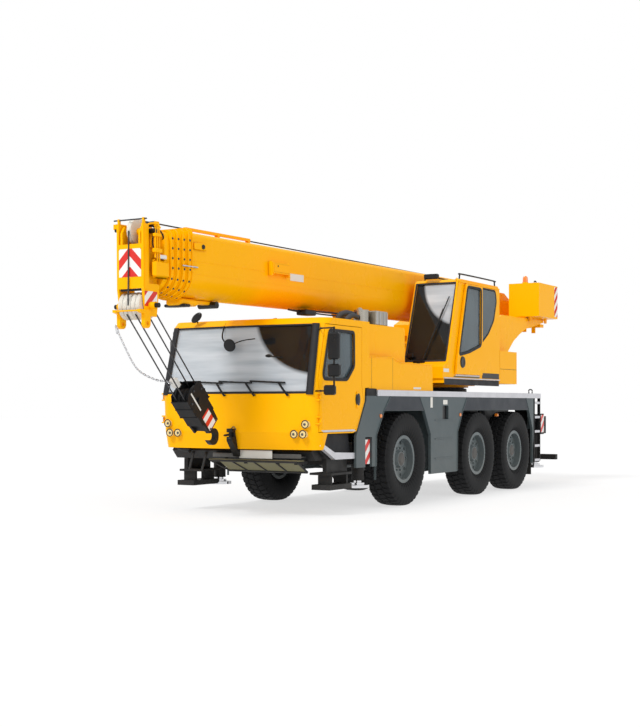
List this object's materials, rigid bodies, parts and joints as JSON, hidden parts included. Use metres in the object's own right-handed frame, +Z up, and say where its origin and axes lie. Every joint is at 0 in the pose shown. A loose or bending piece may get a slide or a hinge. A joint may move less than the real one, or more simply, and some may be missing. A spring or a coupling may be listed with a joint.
{
  "type": "mobile crane",
  "caption": "Road-going mobile crane with steered axles, box carrier, outriggers, slewing superstructure, crane cab and a telescopic boom lying forward over the driver's cab",
  "frame": {"origin": "on the ground under the middle of the whole crane's box", "axes": "+X forward, +Y left, +Z up"},
  "size_m": [11.4856, 3.1356, 3.89],
  "materials": {
    "yellow_paint": "gloss",
    "slate_paint": "satin",
    "black_paint": "satin",
    "rim_paint": "satin",
    "tyre": "matte",
    "cast_steel": "matte",
    "deck_aluminium": "satin",
    "exhaust_steel": "satin",
    "bright_rod": "polished",
    "cab_glass": "gloss",
    "cab_trim": "matte",
    "seat_cloth": "matte",
    "lamp_glass": "gloss",
    "sheave_nylon": "satin",
    "rope_steel": "satin",
    "mirror_black": "satin"
  },
  "bodies": {
    "carrier": {"axle_beams": "cast_steel", "chassis_frame": "black_paint", "engine_block": "cast_steel", "side_panels": "slate_paint", "deck_plates": "deck_aluminium", "engine_hood": "yellow_paint", "exhaust": "exhaust_steel", "cab_shell": "yellow_paint", "cab_glass": "cab_glass", "cab_interior": "cab_trim", "front_bumper": "slate_paint", "headlamps": "lamp_glass", "cab_mirrors": "mirror_black", "rear_fittings": "black_paint"},
    "superstructure": {"turntable": "yellow_paint", "counterweight": "yellow_paint", "hoist_winch": "black_paint", "crane_cab_shell": "yellow_paint", "crane_cab_glass": "cab_glass", "crane_cab_seat": "seat_cloth"},
    "crane_door": {"crane_cab_door": "yellow_paint"},
    "boom": {"boom_base": "yellow_paint"},
    "tele_1": {"boom_section_1": "yellow_paint"},
    "tele_2": {"boom_section_2": "yellow_paint"},
    "tele_3": {"boom_section_3": "yellow_paint"},
    "tele_4": {"boom_section_4": "yellow_paint", "boom_head": "yellow_paint", "head_sheaves": "sheave_nylon", "hoist_ropes": "rope_steel", "hook_block": "black_paint"},
    "luff_barrel_body": {"luff_barrel": "yellow_paint"},
    "luff_rod_body": {"luff_rod": "bright_rod"},
    "cab_door_l": {"cab_door_left": "yellow_paint"},
    "cab_door_r": {"cab_door_right": "yellow_paint"},
    "steer_1_left": {"knuckle_1_left": "cast_steel"},
    "wheel_1_left": {"tyre_1_left": "tyre", "rim_1_left": "rim_paint"},
    "steer_1_right": {"knuckle_1_right": "cast_steel"},
    "wheel_1_right": {"tyre_1_right": "tyre", "rim_1_right": "rim_paint"},
    "steer_2_left": {"knuckle_2_left": "cast_steel"},
    "wheel_2_left": {"tyre_2_left": "tyre", "rim_2_left": "rim_paint"},
    "steer_2_right": {"knuckle_2_right": "cast_steel"},
    "wheel_2_right": {"tyre_2_right": "tyre", "rim_2_right": "rim_paint"},
    "steer_3_left": {"knuckle_3_left": "cast_steel"},
    "wheel_3_left": {"tyre_3_left": "tyre", "rim_3_left": "rim_paint"},
    "steer_3_right": {"knuckle_3_right": "cast_steel"},
    "wheel_3_right": {"tyre_3_right": "tyre", "rim_3_right": "rim_paint"},
    "beam_front_left": {"outrigger_beam_front_left": "slate_paint"},
    "jack_front_left": {"outrigger_jack_front_left": "bright_rod"},
    "beam_front_right": {"outrigger_beam_front_right": "slate_paint"},
    "jack_front_right": {"outrigger_jack_front_right": "bright_rod"},
    "beam_rear_left": {"outrigger_beam_rear_left": "slate_paint"},
    "jack_rear_left": {"outrigger_jack_rear_left": "bright_rod"},
    "beam_rear_right": {"outrigger_beam_rear_right": "slate_paint"},
    "jack_rear_right": {"outrigger_jack_rear_right": "bright_rod"}
  },
  "joints": [
    {"name": "steer_1_left", "type": "hinge", "parent": "carrier", "child": "steer_1_left", "pos_m": [0.797, 0.83, 0.685], "axis": [0, 0, 1], "range_deg": [-35, 35]},
    {"name": "wheel_1_left", "type": "hinge", "parent": "steer_1_left", "child": "wheel_1_left", "pos_m": [0.797, 1.075, 0.685], "axis": [0, 1, 0], "continuous": true},
    {"name": "steer_1_right", "type": "hinge", "parent": "carrier", "child": "steer_1_right", "pos_m": [0.797, -0.83, 0.685], "axis": [0, 0, 1], "range_deg": [-35, 35]},
    {"name": "wheel_1_right", "type": "hinge", "parent": "steer_1_right", "child": "wheel_1_right", "pos_m": [0.797, -1.075, 0.685], "axis": [0, 1, 0], "continuous": true},
    {"name": "steer_2_left", "type": "hinge", "parent": "carrier", "child": "steer_2_left", "pos_m": [-1.903, 0.83, 0.685], "axis": [0, 0, 1], "range_deg": [-18, 18]},
    {"name": "wheel_2_left", "type": "hinge", "parent": "steer_2_left", "child": "wheel_2_left", "pos_m": [-1.903, 1.075, 0.685], "axis": [0, 1, 0], "continuous": true},
    {"name": "steer_2_right", "type": "hinge", "parent": "carrier", "child": "steer_2_right", "pos_m": [-1.903, -0.83, 0.685], "axis": [0, 0, 1], "range_deg": [-18, 18]},
    {"name": "wheel_2_right", "type": "hinge", "parent": "steer_2_right", "child": "wheel_2_right", "pos_m": [-1.903, -1.075, 0.685], "axis": [0, 1, 0], "continuous": true},
    {"name": "steer_3_left", "type": "hinge", "parent": "carrier", "child": "steer_3_left", "pos_m": [-3.553, 0.83, 0.685], "axis": [0, 0, 1], "range_deg": [-28, 28]},
    {"name": "wheel_3_left", "type": "hinge", "parent": "steer_3_left", "child": "wheel_3_left", "pos_m": [-3.553, 1.075, 0.685], "axis": [0, 1, 0], "continuous": true},
    {"name": "steer_3_right", "type": "hinge", "parent": "carrier", "child": "steer_3_right", "pos_m": [-3.553, -0.83, 0.685], "axis": [0, 0, 1], "range_deg": [-28, 28]},
    {"name": "wheel_3_right", "type": "hinge", "parent": "steer_3_right", "child": "wheel_3_right", "pos_m": [-3.553, -1.075, 0.685], "axis": [0, 1, 0], "continuous": true},
    {"name": "slew", "type": "hinge", "parent": "carrier", "child": "superstructure", "pos_m": [-2.653, 0, 1.7853], "axis": [0, 0, 1], "continuous": true},
    {"name": "crane_door_slide", "type": "slide", "parent": "superstructure", "child": "crane_door", "axis": [-1, 0, 0], "range_m": [0, 0.62]},
    {"name": "luff", "type": "hinge", "parent": "superstructure", "child": "boom", "pos_m": [-4.953, 0, 3.28], "axis": [0, -1, 0], "range_deg": [0, 82]},
    {"name": "tele_1", "type": "slide", "parent": "boom", "child": "tele_1", "axis": [0.9999, 0, -0.0122], "range_m": [0, 6.65]},
    {"name": "tele_2", "type": "slide", "parent": "tele_1", "child": "tele_2", "axis": [0.9999, 0, -0.0122], "range_m": [0, 6.65]},
    {"name": "tele_3", "type": "slide", "parent": "tele_2", "child": "tele_3", "axis": [0.9999, 0, -0.0122], "range_m": [0, 6.65]},
    {"name": "tele_4", "type": "slide", "parent": "tele_3", "child": "tele_4", "axis": [0.9999, 0, -0.0122], "range_m": [0, 6.65]},
    {"name": "luff_cylinder_swing", "type": "hinge", "parent": "superstructure", "child": "luff_barrel_body", "pos_m": [-3.153, 0, 2.09], "axis": [0, -1, 0], "range_deg": [0, 83.99]},
    {"name": "luff_cylinder_stroke", "type": "slide", "parent": "luff_barrel_body", "child": "luff_rod_body", "axis": [0.9813, 0, 0.1923], "range_m": [0, 2.8271]},
    {"name": "cab_door_left_hinge", "type": "hinge", "parent": "carrier", "child": "cab_door_l", "pos_m": [3.33, 1.262, 1.43], "axis": [0, 0, -1], "range_deg": [0, 65]},
    {"name": "cab_door_right_hinge", "type": "hinge", "parent": "carrier", "child": "cab_door_r", "pos_m": [3.33, -1.262, 1.43], "axis": [0, 0, 1], "range_deg": [0, 65]},
    {"name": "outrigger_front_left", "type": "slide", "parent": "carrier", "child": "beam_front_left", "axis": [0, 1, 0], "range_m": [0, 1.85]},
    {"name": "jack_front_left", "type": "slide", "parent": "beam_front_left", "child": "jack_front_left", "axis": [0, 0, -1], "range_m": [0, 0.45]},
    {"name": "outrigger_front_right", "type": "slide", "parent": "carrier", "child": "beam_front_right", "axis": [0, -1, 0], "range_m": [0, 1.85]},
    {"name": "jack_front_right", "type": "slide", "parent": "beam_front_right", "child": "jack_front_right", "axis": [0, 0, -1], "range_m": [0, 0.45]},
    {"name": "outrigger_rear_left", "type": "slide", "parent": "carrier", "child": "beam_rear_left", "axis": [0, 1, 0], "range_m": [0, 1.85]},
    {"name": "jack_rear_left", "type": "slide", "parent": "beam_rear_left", "child": "jack_rear_left", "axis": [0, 0, -1], "range_m": [0, 0.45]},
    {"name": "outrigger_rear_right", "type": "slide", "parent": "carrier", "child": "beam_rear_right", "axis": [0, -1, 0], "range_m": [0, 1.85]},
    {"name": "jack_rear_right", "type": "slide", "parent": "beam_rear_right", "child": "jack_rear_right", "axis": [0, 0, -1], "range_m": [0, 0.45]}
  ],
  "couplings": [
    {"joint": "steer_1_right", "follows": "steer_1_left", "ratio": 1},
    {"joint": "steer_2_right", "follows": "steer_2_left", "ratio": 1},
    {"joint": "steer_3_right", "follows": "steer_3_left", "ratio": 1},
    {"joint": "tele_2", "follows": "tele_1", "ratio": 1},
    {"joint": "tele_3", "follows": "tele_1", "ratio": 1},
    {"joint": "tele_4", "follows": "tele_1", "ratio": 1},
    {"joint": "luff_cylinder_swing", "follows": "luff", "ratio": 1.0242},
    {"joint": "luff_cylinder_stroke", "follows": "luff", "m_per_rad": 1.975}
  ]
}
